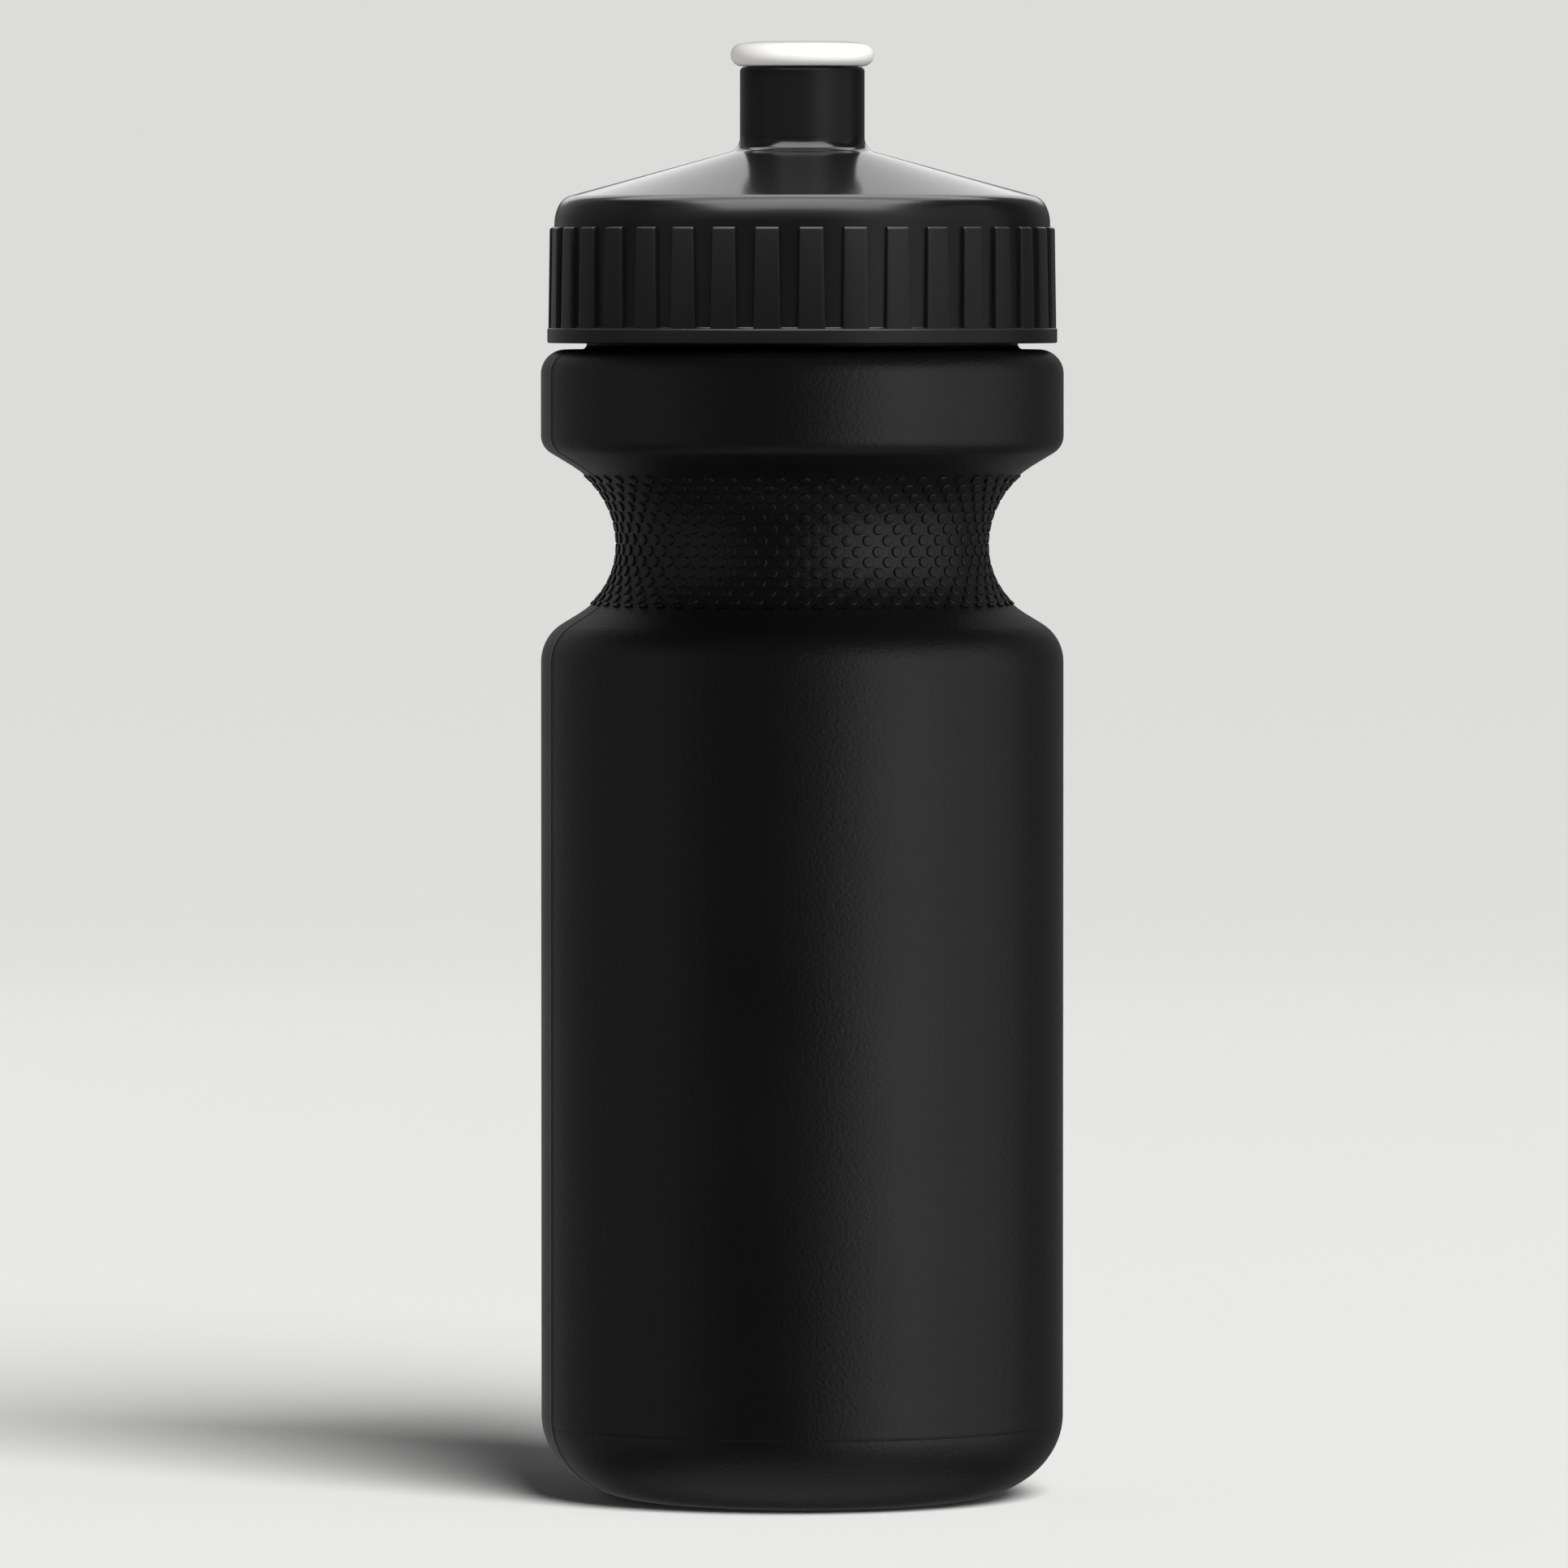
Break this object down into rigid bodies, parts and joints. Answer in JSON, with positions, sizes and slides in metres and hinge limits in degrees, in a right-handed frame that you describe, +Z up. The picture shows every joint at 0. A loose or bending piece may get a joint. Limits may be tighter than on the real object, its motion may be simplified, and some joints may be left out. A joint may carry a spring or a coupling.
{
  "type": "sports squeeze bottle",
  "caption": "Squeeze drink bottle with a waisted grip, a ribbed screw lid and a push-pull spout that slides over a fixed pin.",
  "frame": {"origin": "centre of the bottle's base, on the plane that it stands on", "axes": "+Z up along the bottle's axis towards the spout, -Y towards the viewer, +X to the viewer's right"},
  "size_m": [0.073, 0.073, 0.2033],
  "materials": {
    "bottle_plastic": "black low-density polyethylene, blow moulded, satin with a fine grain",
    "seal_rubber": "milky silicone, satin",
    "lid_plastic": "black polypropylene, injection moulded, semi-gloss",
    "valve_plastic": "white polyethylene, semi-gloss"
  },
  "bodies": {
    "bottle": {"bottle_body": "bottle_plastic"},
    "ring": {"sealing_ring": "seal_rubber"},
    "lid": {"screw_lid": "lid_plastic"},
    "valve": {"push_pull_valve": "valve_plastic"}
  },
  "joints": [
    {"name": "lid_lift", "type": "slide", "parent": "bottle", "child": "ring", "axis": [0, 0, 1], "range_m": [0, 0.01693]},
    {"name": "lid_turn", "type": "hinge", "parent": "ring", "child": "lid", "pos_m": [0, 0, 0.1795], "axis": [0, 0, 1], "range_deg": [0, 720]},
    {"name": "valve_pull", "type": "slide", "parent": "lid", "child": "valve", "axis": [0, 0, 1], "range_m": [0, 0.007]}
  ],
  "couplings": [
    {"joint": "lid_lift", "follows": "lid_turn", "m_per_rad": 0.0013465}
  ]
}
